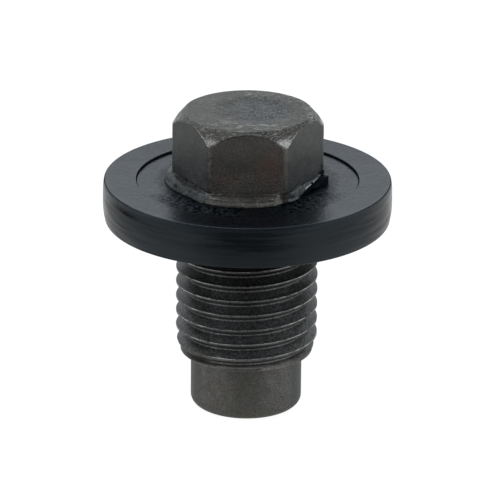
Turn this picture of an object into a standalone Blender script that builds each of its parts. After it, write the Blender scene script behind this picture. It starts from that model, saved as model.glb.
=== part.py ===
"""Oil drain plug, M14 x 1.5, with a captive rubber seal washer.

The steel plug is one forging: a hexagon head, a round washer face under it, a plain neck,
a rolled right hand thread and a plain pilot that leads the plug into its hole. The rubber
washer turns freely on the neck, held between the washer face and the thread, whose crests
are wider than its hole. The plug stands on the flat of its pilot, with +Z up through its
axis and the origin in the middle of that flat. All sizes are in metres.
"""

import math

import bmesh
import bpy
from mathutils import Matrix, Vector

MM = 0.001

# Thread: metric M14 x 1.5, right hand
THREAD_PITCH = 1.5 * MM
THREAD_CREST_RADIUS = 6.88 * MM
THREAD_CREST_FLAT = THREAD_PITCH / 8
THREAD_ROOT_FLAT = THREAD_PITCH / 6
THREAD_FLANK_ANGLE = math.radians(30)
THREAD_START_HEIGHT = 0.95 * MM

# Shank below the washer
SHANK_LENGTH = 19.02 * MM
PILOT_LENGTH = 5.32 * MM
PILOT_RADIUS = 5.4 * MM
PILOT_TIP_ROUND = 0.8 * MM
SHOULDER_RADIUS = 6.42 * MM
SHOULDER_ANGLE = math.radians(72)
LEAD_CONE_ANGLE = math.radians(21)
NECK_UNDERCUT = 0.43 * MM
THREAD_RUNOUT = 0.35 * MM

# Clearances between the plug and the washer
SEAT_GAP = 0.3 * MM
BORE_GAP = 0.3 * MM

# Rubber washer
WASHER_THICKNESS = 4.05 * MM
WASHER_BULGE_RADIUS = 13.95 * MM
WASHER_TOP_DRAFT = 0.12 * MM
WASHER_BOTTOM_DRAFT = 0.17 * MM
WASHER_BULGE_SHARE = 0.42
WASHER_TOP_ROUND = 0.2 * MM
WASHER_BOTTOM_ROUND = 0.3 * MM
WASHER_RECESS_RADIUS = 10.65 * MM
WASHER_RECESS_DEPTH = 0.2 * MM
WASHER_RECESS_DRAFT = 0.1 * MM
WASHER_BORE_CHAMFER = 0.25 * MM

# Washer face, the round collar forged under the head
FACE_HEIGHT = 0.64 * MM
FACE_RADIUS = 7.6 * MM
FACE_SHIFT = -0.25 * MM
FACE_SLOPE_HEIGHT = 0.4 * MM
FACE_SLOPE_WIDTH = 0.6 * MM

# Hexagon head
HEX_ACROSS_FLATS = 12.8 * MM
HEX_HEIGHT = 6.17 * MM
HEX_CORNER_ROUND = 0.7 * MM
HEAD_TOP_RADIUS = 6.07 * MM
HEAD_CHAMFER_ANGLE = math.radians(53)
HEAD_TOP_ROUND = 0.25 * MM
DISH_RADIUS = 3.9 * MM
DISH_DEPTH = 0.2 * MM

# Fineness of the round surfaces
THREAD_STEPS = 48
TURNED_STEPS = 72
ROUND_STEPS = 4
WALL_STEPS = 3
DISH_STEPS = 3
OVERCUT = 1.0 * MM
MERGE_DISTANCE = 0.0005 * MM
SHARP_ANGLE = math.radians(28)
SEAM_TURN = math.radians(1.3)

# Sizes that follow from the ones above
NECK_RADIUS = THREAD_CREST_RADIUS - NECK_UNDERCUT
THREAD_DEPTH = (THREAD_PITCH - THREAD_CREST_FLAT - THREAD_ROOT_FLAT) / 2 / math.tan(THREAD_FLANK_ANGLE)
THREAD_ROOT_RADIUS = THREAD_CREST_RADIUS - THREAD_DEPTH
BORE_RADIUS = NECK_RADIUS + BORE_GAP
WASHER_TOP_Z = SHANK_LENGTH + WASHER_THICKNESS
RECESS_Z = WASHER_TOP_Z - WASHER_RECESS_DEPTH
THREAD_TOP_Z = SHANK_LENGTH - SEAT_GAP
FACE_BOTTOM_Z = RECESS_Z + SEAT_GAP
HEX_BOTTOM_Z = FACE_BOTTOM_Z + FACE_HEIGHT
HEAD_TOP_Z = HEX_BOTTOM_Z + HEX_HEIGHT


def clear_scene():
    """Remove every object that the scene starts with."""
    for obj in list(bpy.data.objects):
        bpy.data.objects.remove(obj, do_unlink=True)


def make_material(name, color, roughness, metallic):
    """A Principled material of one colour."""
    material = bpy.data.materials.new(name)
    material.use_nodes = True
    shader = material.node_tree.nodes["Principled BSDF"]
    shader.inputs["Base Color"].default_value = (*color, 1.0)
    shader.inputs["Roughness"].default_value = roughness
    shader.inputs["Metallic"].default_value = metallic
    return material


def blackened_steel():
    """Dark phosphated steel."""
    return make_material("blackened_steel", (0.075, 0.073, 0.070), 0.45, 1.0)


def black_rubber():
    """Moulded black rubber."""
    return make_material("black_rubber", (0.012, 0.014, 0.017), 0.35, 0.0)


def object_from(name, bm):
    """An object in the scene that holds the bmesh, which this frees."""
    mesh = bpy.data.meshes.new(name)
    bmesh.ops.recalc_face_normals(bm, faces=bm.faces)
    bm.to_mesh(mesh)
    bm.free()
    obj = bpy.data.objects.new(name, mesh)
    bpy.context.scene.collection.objects.link(obj)
    return obj


def as_helper(obj):
    """Keep an object out of the model: it only takes part in Booleans."""
    obj.hide_render = True
    obj.display_type = "WIRE"
    return obj


def combine(obj, other, operation):
    """Add a Boolean of the object with a helper."""
    modifier = obj.modifiers.new(f"{operation.lower()}_{other.name}", "BOOLEAN")
    modifier.operation = operation
    modifier.object = other
    modifier.solver = "EXACT"


def finish(obj, material):
    """Give the object its material and smooth shading with crisp edges."""
    obj.data.materials.append(material)
    obj.data.shade_smooth()
    obj.data.set_sharp_from_angle(angle=SHARP_ANGLE)


def arc(center_r, center_z, radius, start, end, steps):
    """Points (r, z) on an arc between two angles, measured from the +r direction."""
    angles = [start + (end - start) * step / steps for step in range(steps + 1)]
    return [(center_r + radius * math.cos(a), center_z + radius * math.sin(a)) for a in angles]


def turned(profile, steps=TURNED_STEPS, closed=False):
    """A bmesh turned about Z from a profile of (r, z) points.

    The seam is a little off +X, so that its facets never meet those of the thread edge on edge.
    """
    bm = bmesh.new()
    verts = [bm.verts.new((r, 0, z)) for r, z in profile]
    edges = [bm.edges.new(pair) for pair in zip(verts, verts[1:])]
    if closed:
        edges.append(bm.edges.new((verts[-1], verts[0])))
    bmesh.ops.spin(bm, geom=verts + edges, cent=(0, 0, 0), axis=(0, 0, 1), angle=math.tau, steps=steps)
    bmesh.ops.remove_doubles(bm, verts=bm.verts, dist=MERGE_DISTANCE)
    bmesh.ops.rotate(bm, verts=bm.verts, cent=(0, 0, 0), matrix=Matrix.Rotation(SEAM_TURN, 3, "Z"))
    return bm


def thread_profile(low, high):
    """Points (r, z) of the thread's section from low to high, one pitch after another.

    A crest is centred THREAD_START_HEIGHT above the origin on the -Y side, and the helix
    starts at +X, a quarter of a turn further on.
    """
    flank = (THREAD_PITCH - THREAD_CREST_FLAT - THREAD_ROOT_FLAT) / 2
    offset = THREAD_START_HEIGHT + THREAD_PITCH / 4
    first = math.floor((low - offset) / THREAD_PITCH)
    last = math.ceil((high - offset) / THREAD_PITCH)
    points = []
    for turn in range(first, last + 1):
        crest = offset + turn * THREAD_PITCH
        points.append((THREAD_ROOT_RADIUS, crest - THREAD_CREST_FLAT / 2 - flank))
        points.append((THREAD_CREST_RADIUS, crest - THREAD_CREST_FLAT / 2))
        points.append((THREAD_CREST_RADIUS, crest + THREAD_CREST_FLAT / 2))
        points.append((THREAD_ROOT_RADIUS, crest + THREAD_CREST_FLAT / 2 + flank))
    return points


def threaded_rod(low, high):
    """A closed rod with the thread on it, cut square at both heights."""
    bm = bmesh.new()
    profile = thread_profile(low - THREAD_PITCH, high + THREAD_PITCH)
    verts = [bm.verts.new((r, 0, z)) for r, z in profile]
    edges = [bm.edges.new(pair) for pair in zip(verts, verts[1:])]
    rise = Vector((0, 0, THREAD_PITCH / THREAD_STEPS))
    bmesh.ops.spin(
        bm,
        geom=verts + edges,
        cent=(0, 0, 0),
        axis=(0, 0, 1),
        dvec=rise,
        angle=math.tau,
        steps=THREAD_STEPS,
    )
    bmesh.ops.remove_doubles(bm, verts=bm.verts, dist=MERGE_DISTANCE)
    for height, side in ((low, -1), (high, 1)):
        geometry = list(bm.verts) + list(bm.edges) + list(bm.faces)
        bmesh.ops.bisect_plane(
            bm,
            geom=geometry,
            dist=MERGE_DISTANCE,
            plane_co=(0, 0, height),
            plane_no=(0, 0, side),
            clear_outer=True,
        )
    open_edges = [edge for edge in bm.edges if edge.is_boundary]
    bmesh.ops.holes_fill(bm, edges=open_edges, sides=0)
    return bm


def shank_envelope():
    """The turned outline that the thread is cut to: pilot, flat shoulder, lead cone, open bore."""
    clear_radius = THREAD_CREST_RADIUS + OVERCUT
    shoulder_top = PILOT_LENGTH + (SHOULDER_RADIUS - PILOT_RADIUS) / math.tan(SHOULDER_ANGLE)
    cone_top = shoulder_top + (clear_radius - SHOULDER_RADIUS) / math.tan(LEAD_CONE_ANGLE)
    tip = arc(
        PILOT_RADIUS - PILOT_TIP_ROUND,
        PILOT_TIP_ROUND,
        PILOT_TIP_ROUND,
        -math.pi / 2,
        0,
        ROUND_STEPS,
    )
    top = THREAD_TOP_Z + OVERCUT
    profile = [(0, 0), *tip, (PILOT_RADIUS, PILOT_LENGTH), (SHOULDER_RADIUS, shoulder_top)]
    profile += [(clear_radius, cone_top), (clear_radius, top), (0, top)]
    return turned(profile)


def threaded_shank():
    """Thread, lead cone and pilot as one helper solid."""
    shank = as_helper(object_from("threaded_shank", threaded_rod(-OVERCUT, THREAD_TOP_Z)))
    envelope = as_helper(object_from("shank_envelope", shank_envelope()))
    combine(shank, envelope, "INTERSECT")
    return shank


def neck():
    """The plain neck that the washer sits on, rooted in the shank and in the washer face."""
    foot = THREAD_TOP_Z - THREAD_RUNOUT
    top = FACE_BOTTOM_Z + FACE_HEIGHT / 2
    profile = [(0, foot), (NECK_RADIUS, foot), (NECK_RADIUS, top), (0, top)]
    return as_helper(object_from("neck", turned(profile)))


def washer_face():
    """The round collar under the head, a little off the axis as forged."""
    wall_top = HEX_BOTTOM_Z - FACE_SLOPE_HEIGHT
    profile = [(0, FACE_BOTTOM_Z), (FACE_RADIUS, FACE_BOTTOM_Z), (FACE_RADIUS, wall_top)]
    profile += [(FACE_RADIUS - FACE_SLOPE_WIDTH, HEX_BOTTOM_Z), (0, HEX_BOTTOM_Z)]
    bm = turned(profile)
    bmesh.ops.translate(bm, verts=bm.verts, vec=(FACE_SHIFT, 0, 0))
    return as_helper(object_from("washer_face", bm))


def head_blank():
    """The turned blank that rounds the hexagon off at the top and holds the dish."""
    reach = HEX_ACROSS_FLATS / 2 / math.cos(math.radians(30)) + OVERCUT
    drop = (reach - HEAD_TOP_RADIUS) * math.tan(HEAD_CHAMFER_ANGLE)
    tangent = HEAD_TOP_ROUND * math.tan(HEAD_CHAMFER_ANGLE / 2)
    rim = arc(
        HEAD_TOP_RADIUS - tangent,
        HEAD_TOP_Z - HEAD_TOP_ROUND,
        HEAD_TOP_ROUND,
        math.pi / 2 - HEAD_CHAMFER_ANGLE,
        math.pi / 2,
        ROUND_STEPS,
    )
    bowl_radius = (DISH_RADIUS**2 + DISH_DEPTH**2) / (2 * DISH_DEPTH)
    half_angle = math.asin(DISH_RADIUS / bowl_radius)
    bowl = arc(
        0,
        HEAD_TOP_Z - DISH_DEPTH + bowl_radius,
        bowl_radius,
        -math.pi / 2 + half_angle,
        -math.pi / 2,
        DISH_STEPS,
    )
    bottom = FACE_BOTTOM_Z - OVERCUT
    profile = [(0, bottom), (reach, bottom), (reach, HEAD_TOP_Z - drop), *rim, *bowl]
    return as_helper(object_from("head_blank", turned(profile)))


def hexagon():
    """The hexagon bar of the head, one flat facing -Y, its upright edges rounded."""
    bm = bmesh.new()
    radius = HEX_ACROSS_FLATS / 2 / math.cos(math.radians(30))
    foot = HEX_BOTTOM_Z - FACE_HEIGHT / 2
    height = HEAD_TOP_Z + OVERCUT - foot
    bmesh.ops.create_cone(bm, cap_ends=True, segments=6, radius1=radius, radius2=radius, depth=height)
    turn = Matrix.Rotation(math.radians(30), 4, "Z")
    shift = Matrix.Translation((0, 0, foot + height / 2))
    bmesh.ops.transform(bm, matrix=shift @ turn, verts=bm.verts)
    upright = [edge for edge in bm.edges if abs(edge.verts[0].co.z - edge.verts[1].co.z) > height / 2]
    bmesh.ops.bevel(
        bm,
        geom=upright,
        offset=HEX_CORNER_ROUND * math.tan(math.radians(30)),
        offset_type="OFFSET",
        affect="EDGES",
        segments=ROUND_STEPS,
        profile=0.5,
        material=-1,
    )
    return bm


def plug_body():
    """The steel plug: the hexagon head joined to its washer face, neck and threaded shank."""
    body = object_from("plug_body", hexagon())
    combine(body, head_blank(), "INTERSECT")
    combine(body, washer_face(), "UNION")
    combine(body, neck(), "UNION")
    combine(body, threaded_shank(), "UNION")
    finish(body, blackened_steel())
    return body


def washer_wall(bottom_radius, top_radius, low, high):
    """Points up the bulged outer wall, between its two ends and through its widest radius."""
    widest = low + (high - low) * WASHER_BULGE_SHARE
    points = []
    for step in range(1 - WALL_STEPS, WALL_STEPS):
        share = abs(step) / WALL_STEPS
        edge_radius, edge_z = (bottom_radius, low) if step < 0 else (top_radius, high)
        radius = WASHER_BULGE_RADIUS - (WASHER_BULGE_RADIUS - edge_radius) * share**2
        points.append((radius, widest + (edge_z - widest) * share))
    return points


def seal_washer():
    """The rubber washer: a bulged rim, a flat sealing face below and a shallow recess above."""
    bottom_radius = WASHER_BULGE_RADIUS - WASHER_BOTTOM_DRAFT
    top_radius = WASHER_BULGE_RADIUS - WASHER_TOP_DRAFT
    low = SHANK_LENGTH
    high = WASHER_TOP_Z
    foot = arc(
        bottom_radius - WASHER_BOTTOM_ROUND,
        low + WASHER_BOTTOM_ROUND,
        WASHER_BOTTOM_ROUND,
        -math.pi / 2,
        0,
        ROUND_STEPS,
    )
    shoulder = arc(
        top_radius - WASHER_TOP_ROUND,
        high - WASHER_TOP_ROUND,
        WASHER_TOP_ROUND,
        0,
        math.pi / 2,
        ROUND_STEPS,
    )
    wall = washer_wall(bottom_radius, top_radius, low + WASHER_BOTTOM_ROUND, high - WASHER_TOP_ROUND)
    profile = [(BORE_RADIUS, RECESS_Z), (BORE_RADIUS, low + WASHER_BORE_CHAMFER)]
    profile += [(BORE_RADIUS + WASHER_BORE_CHAMFER, low), *foot, *wall, *shoulder]
    profile += [(WASHER_RECESS_RADIUS, high), (WASHER_RECESS_RADIUS - WASHER_RECESS_DRAFT, RECESS_Z)]
    washer = object_from("seal_washer", turned(profile, closed=True))
    finish(washer, black_rubber())
    return washer


def main():
    """Build the plug and its washer in a cleared scene."""
    clear_scene()
    plug_body()
    seal_washer()


main()
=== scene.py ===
"""Looks of the oil drain plug: blackened steel plug, moulded rubber washer, white studio.

The pieces are in metres in the frame of the CAD model, with +Z up through the plug's axis and
the origin under its tip. Sizes in this script are in millimetres and become metres where they
reach a mesh, a texture or the scene. The azimuth of a point is measured in degrees from +X
towards +Y, so the front of the plug, which faces the camera, is at -90.
"""

from __future__ import annotations

import logging
import math
from dataclasses import dataclass
from enum import Enum
from typing import Callable, Iterable, Sequence

import bmesh
import bpy
from mathutils import Matrix, Vector, noise

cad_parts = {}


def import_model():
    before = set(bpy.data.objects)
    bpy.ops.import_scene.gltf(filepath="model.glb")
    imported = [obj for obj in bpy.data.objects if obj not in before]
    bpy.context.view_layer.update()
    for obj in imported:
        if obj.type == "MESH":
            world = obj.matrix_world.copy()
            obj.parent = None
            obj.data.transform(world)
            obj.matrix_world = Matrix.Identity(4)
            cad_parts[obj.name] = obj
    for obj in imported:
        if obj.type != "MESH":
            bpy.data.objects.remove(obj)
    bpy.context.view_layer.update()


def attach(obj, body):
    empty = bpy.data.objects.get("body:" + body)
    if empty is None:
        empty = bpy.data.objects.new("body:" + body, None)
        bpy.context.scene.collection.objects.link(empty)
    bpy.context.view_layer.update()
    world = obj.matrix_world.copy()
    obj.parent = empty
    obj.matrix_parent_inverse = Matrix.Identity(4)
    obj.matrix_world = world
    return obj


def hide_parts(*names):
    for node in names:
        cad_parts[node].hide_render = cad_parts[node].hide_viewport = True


LOG = logging.getLogger("drain_plug")
MM = 0.001

# Azimuths of the hexagon's front flat and its two corners, and of the spot on the right where
# the washer face is cut back.
FRONT = -90.0
LEFT_CORNER = -120.0
RIGHT_CORNER = -60.0
CUT_BACK = -24.0

WHITE = (1.0, 1.0, 1.0)

BMesh = bmesh.types.BMesh
Points = list[tuple[float, float]]
Pairs = Sequence[tuple[float, float]]
Triple = tuple[float, float, float]


class Layer(Enum):
    """The values that the meshes carry for their materials, one per vertex."""

    WEAR_AND_HIGHLIGHT = "wear_and_highlight"
    PALE = "pale"
    GRIT = "grit"
    DIRT_AND_SHADE = "dirt_and_shade"
    TINT = "tint"
    SCUFF = "scuff"
    GRAIN = "grain"
    DULL_AND_SHADE = "dull_and_shade"


class Spot:
    """A point of a mesh, read in millimetres."""

    def __init__(self, place: Vector) -> None:
        """Read a point.

        Args:
            place: a vertex's place, in metres.
        """
        self.place = place
        self.x, self.y, self.z = place.x / MM, place.y / MM, place.z / MM
        self.radius = math.hypot(place.x, place.y) / MM
        self.azimuth = math.degrees(math.atan2(place.y, place.x))

    def waves(self, cell: float) -> float:
        """Smooth noise between -1 and 1, whose waves are about one cell long."""
        return noise.noise(self.place / (cell * MM))

    def pushed(self, outward: float) -> Vector:
        """The place in metres that lies this far from the point, away from the axis."""
        return self.place + Vector((self.x, self.y, 0.0)).normalized() * (outward * MM)


# Small helpers


def metres(*sides: float) -> Vector:
    """Three sizes as a place or a direction in metres."""
    return Vector([side * MM for side in sides])


def clamp(value: float, low: float = 0.0, high: float = 1.0) -> float:
    """Keep a value between two limits."""
    return min(max(value, low), high)


def ease(value: float, start: float, end: float) -> float:
    """Rise smoothly from 0 at start to 1 at end.

    Args:
        value: where the ramp is read.
        start: the value at which it leaves 0.
        end: the value at which it reaches 1.

    Returns:
        The height of the ramp.
    """
    share = clamp((value - start) / (end - start))
    return share * share * (3.0 - 2.0 * share)


def blend(first: float, second: float, share: float) -> float:
    """A value between two others."""
    return first + (second - first) * share


def hump(value: float, center: float, width: float) -> float:
    """A smooth bump of height 1 at center that falls to 0 within the width on either side."""
    return ease(width - abs(value - center), 0.0, width)


def turn_gap(first: float, second: float) -> float:
    """The signed angle in degrees from second to first, between -180 and 180."""
    return (first - second + 180.0) % 360.0 - 180.0


def sector(azimuth: float, center: float, half: float, soft: float) -> float:
    """Tell how far an azimuth lies in a sector round the axis.

    Args:
        azimuth: the azimuth, in degrees like the rest.
        center: the middle of the sector.
        half: the angle from there to either end.
        soft: the angle within which it fades at each end.

    Returns:
        From 0, outside, to 1.
    """
    return ease(half - abs(turn_gap(azimuth, center)), 0.0, soft)


def around(stations: Pairs, azimuth: float) -> float:
    """Read a value that is given at stations round the axis.

    Args:
        stations: pairs of azimuth and value, in rising order.
        azimuth: where to read.

    Returns:
        The value, eased between the two stations on either side.
    """
    azimuth = (azimuth - stations[0][0]) % 360.0 + stations[0][0]
    closed = [*stations, (stations[0][0] + 360.0, stations[0][1])]
    for (left, low), (right, high) in zip(closed, closed[1:]):
        if left <= azimuth <= right:
            return blend(low, high, ease(azimuth, left, right))
    return stations[0][1]


def polar(radius: float, azimuth: float, height: float) -> Vector:
    """The place in metres at a radius, an azimuth and a height."""
    angle = math.radians(azimuth)
    return metres(radius * math.cos(angle), radius * math.sin(angle), height)


def arc(center: tuple[float, float], radius: float, start: float, end: float, steps: int) -> Points:
    """Points (r, z) on an arc.

    Args:
        center: its middle, as (r, z).
        radius: its radius.
        start: the angle of the first point, in degrees from the +r direction.
        end: the angle of the last point.
        steps: how many pieces the arc is cut into.

    Returns:
        The points, both ends included.
    """
    angles = [math.radians(blend(start, end, step / steps)) for step in range(steps + 1)]
    r, z = center
    return [(r + radius * math.cos(angle), z + radius * math.sin(angle)) for angle in angles]


def spun(profile: Pairs, steps: int, closed: bool = False, rise: float = 0.0) -> BMesh:
    """Turn a profile about the axis.

    Args:
        profile: its points as (r, z).
        steps: how many facets go round.
        closed: whether the last point joins the first.
        rise: how far it climbs in one turn.

    Returns:
        The turned shell. It is merged along its seam if it doesn't climb.
    """
    shell = bmesh.new()
    verts = [shell.verts.new(metres(r, 0.0, z)) for r, z in profile]
    edges = [shell.edges.new(pair) for pair in zip(verts, verts[1:])]
    if closed:
        edges.append(shell.edges.new((verts[-1], verts[0])))
    bmesh.ops.spin(
        shell,
        geom=verts + edges,
        cent=(0.0, 0.0, 0.0),
        axis=(0.0, 0.0, 1.0),
        dvec=metres(0.0, 0.0, rise / steps),
        angle=math.tau,
        steps=steps,
        use_merge=rise == 0.0,
    )
    return shell


def paint(shell: BMesh, owner: object, layers: Iterable[Layer]) -> None:
    """Give every vertex its values.

    Args:
        shell: the mesh.
        owner: what has a method for each layer, of the same name, from a point to its value.
        layers: the layers.
    """
    stores = shell.verts.layers.float
    for layer in layers:
        stores.new(layer.value)
    painted = [(stores.get(layer.value), getattr(owner, layer.value)) for layer in layers]
    for vert in shell.verts:
        spot = Spot(vert.co)
        for store, value in painted:
            vert[store] = value(spot)


def mesh_from(name: str, shell: BMesh) -> bpy.types.Mesh:
    """Turn a shell into a mesh.

    Args:
        name: the mesh's name.
        shell: the shell, which is freed.

    Returns:
        The mesh.
    """
    mesh = bpy.data.meshes.new(name)
    shell.to_mesh(mesh)
    shell.free()
    return mesh


def linked(name: str, data: bpy.types.ID) -> bpy.types.Object:
    """Add an object to the scene.

    Args:
        name: its name.
        data: its mesh, camera or light.

    Returns:
        The object, at the origin.
    """
    made = bpy.data.objects.new(name, data)
    bpy.context.scene.collection.objects.link(made)
    return made


def piece_from(
    name: str, shell: BMesh, sharp: float, material: bpy.types.Material
) -> bpy.types.Object:
    """Make the finished piece of a mesh.

    Args:
        name: the piece's name.
        shell: its mesh, which is freed.
        sharp: the angle in degrees past which an edge stays crisp.
        material: its finish.

    Returns:
        The object, smooth between its crisp edges.
    """
    bmesh.ops.recalc_face_normals(shell, faces=shell.faces)
    mesh = mesh_from(name, shell)
    mesh.shade_smooth()
    mesh.set_sharp_from_angle(angle=math.radians(sharp))
    mesh.materials.append(material)
    return linked(name, mesh)


# Shader maths


def _operator(operation: str, meaning: str) -> Callable[[Value, Value | float], Value]:
    """Make a method of Value.

    Args:
        operation: what its Math node does.
        meaning: its docstring.

    Returns:
        The method, which takes one other value or number.
    """

    def method(self: Value, other: Value | float) -> Value:
        """Add the node."""
        return self.sheet.node("Math", {0: self, 1: other}, {"operation": operation})

    method.__doc__ = meaning
    return method


class Value:
    """A number that varies over a surface, with Python's operators on it."""

    def __init__(self, sheet: Sheet, socket: bpy.types.NodeSocket) -> None:
        """Wrap an output socket of a sheet's node tree."""
        self.sheet = sheet
        self.socket = socket

    __add__ = __radd__ = _operator("ADD", "Sum.")
    __sub__ = _operator("SUBTRACT", "Difference.")
    __mul__ = __rmul__ = _operator("MULTIPLY", "Product.")
    __truediv__ = _operator("DIVIDE", "Quotient.")
    __pow__ = _operator("POWER", "Power.")
    most = _operator("MAXIMUM", "The larger of two values.")
    least = _operator("MINIMUM", "The smaller of two values.")

    def __rsub__(self, other: float) -> Value:
        """Difference with a plain number on the left."""
        return (self * -1.0) + other

    def ramp(self, start: float, end: float, low: float = 0.0, high: float = 1.0) -> Value:
        """Map one range smoothly to another.

        Args:
            start: the value that becomes low.
            end: the value that becomes high.
            low: the result at start and before it.
            high: the result at end and past it.

        Returns:
            The mapped value.
        """
        settings = {"interpolation_type": "SMOOTHSTEP", "clamp": True}
        values = {0: self, 1: start, 2: end, 3: low, 4: high}
        return self.sheet.node("MapRange", values, settings)


class Sheet:
    """The node tree of a material or world, filled by short calls."""

    def __init__(self, tree: bpy.types.NodeTree) -> None:
        """Start from an empty tree.

        Args:
            tree: the tree, which is cleared.
        """
        self.tree = tree
        tree.nodes.clear()
        self.place: Value | None = None

    def node(
        self,
        kind: str,
        values: dict[int | str, object] | None = None,
        settings: dict[str, object] | None = None,
        output: int | str = 0,
    ) -> Value:
        """Add a node.

        Args:
            kind: the node's type, without what all start with.
            values: what goes into its sockets, as numbers, colours or values.
            settings: its properties, which are set first.
            output: the output that is wanted.

        Returns:
            That output.
        """
        made = self.tree.nodes.new(f"ShaderNode{kind}")
        for name, setting in (settings or {}).items():
            setattr(made, name, setting)
        for key, value in (values or {}).items():
            if isinstance(value, Value):
                self.tree.links.new(value.socket, made.inputs[key])
            elif isinstance(value, tuple) and made.inputs[key].type == "RGBA":
                made.inputs[key].default_value = (*value, 1.0)
            else:
                made.inputs[key].default_value = value
        return Value(self, made.outputs[output])

    def finish(self, shader: Value, kind: str = "OutputMaterial") -> None:
        """Join a shader to the output node."""
        output = self.tree.nodes.new(f"ShaderNode{kind}")
        self.tree.links.new(shader.socket, output.inputs["Surface"])

    def outputs(self, value: Value, names: Iterable[int | str]) -> list[Value]:
        """Several outputs of the node that a value comes from."""
        return [Value(self, value.socket.node.outputs[name]) for name in names]

    def coordinates(self) -> Value:
        """Object coordinates, in metres.

        Returns:
            Their value, from one node for the whole sheet.
        """
        if self.place is None:
            self.place = self.node("TexCoord", output="Object")
        return self.place

    def split(self, vector: Value) -> list[Value]:
        """The three parts of a vector."""
        return self.outputs(self.node("SeparateXYZ", {0: vector}), (0, 1, 2))

    def light_path(self) -> list[Value]:
        """Whether a ray comes from the camera, from a gloss, and through a clear surface."""
        names = ("Is Camera Ray", "Is Glossy Ray", "Is Transmission Ray")
        return self.outputs(self.node("LightPath"), names)

    def stretched(self, cell: Triple, turn: float) -> Value:
        """Turn the coordinates about Z and stretch them.

        Args:
            cell: the sizes that become one unit.
            turn: the angle.

        Returns:
            The new coordinates.
        """
        values = {"Vector": self.coordinates(), "Angle": math.radians(turn)}
        turned = self.node("VectorRotate", values, {"rotation_type": "Z_AXIS"})
        scale = tuple(1.0 / (side * MM) for side in cell)
        return self.node("Mapping", {"Vector": turned, "Scale": scale})

    def noise(
        self,
        cell: float | Triple,
        detail: float = 2.0,
        rough: float = 0.5,
        turn: float = 0.0,
        swirl: float = 0.0,
    ) -> Value:
        """Noise whose blotches are about one cell across.

        Args:
            cell: their size, or their sizes along the three axes.
            detail: how many finer layers it has.
            rough: how strong those are.
            turn: the angle by which cells with three sizes are turned about Z.
            swirl: how far it is distorted.

        Returns:
            The noise, about 0 on average and seldom beyond 0.3.
        """
        if isinstance(cell, tuple):
            values = {"Vector": self.stretched(cell, turn), "Scale": 1.0}
        else:
            values = {"Vector": self.coordinates(), "Scale": 1.0 / (cell * MM)}
        values |= {"Detail": detail, "Roughness": rough, "Distortion": swirl}
        return self.node("TexNoise", values) - 0.5

    def layer(self, layer: Layer) -> Value:
        """The value that the mesh carries."""
        return self.node("Attribute", {}, {"attribute_name": layer.value}, "Fac")

    def gray(self, level: Value) -> Value:
        """The gray of this level."""
        return self.node("CombineColor", {0: level, 1: level, 2: level})

    def mix(self, first: object, second: object, share: Value | float, kind: str = "MIX") -> Value:
        """A colour between two others, or another kind of mix of them."""
        settings = {"data_type": "RGBA", "clamp_factor": True, "blend_type": kind}
        return self.node("Mix", {0: share, 6: first, 7: second}, settings, 2)

    def shade(self, color: Value, factor: Value) -> Value:
        """A colour times a value."""
        return self.mix(color, self.gray(factor), 1.0, "MULTIPLY")

    def tinted(self, color: Value, tint: Triple, share: Value) -> Value:
        """A colour times a tint, as far as the share goes."""
        return self.mix(color, tint, share, "MULTIPLY")

    def bump(self, height: Value, distance: float) -> Value:
        """A bump normal from a height whose unit is this distance."""
        return self.node("Bump", {"Height": height, "Distance": distance * MM})

    def diffuse(self, color: Value | Triple) -> Value:
        """A matte shader."""
        return self.node("BsdfDiffuse", {"Color": color})

    def both(self, first: Value, second: Value, share: Value) -> Value:
        """A shader between two others."""
        return self.node("MixShader", {0: share, 1: first, 2: second})


def new_material(name: str) -> tuple[bpy.types.Material, Sheet]:
    """Make an empty node material.

    Args:
        name: its name.

    Returns:
        The material and its sheet.
    """
    material = bpy.data.materials.new(name)
    material.use_nodes = True
    return material, Sheet(material.node_tree)


# Finishes


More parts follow.
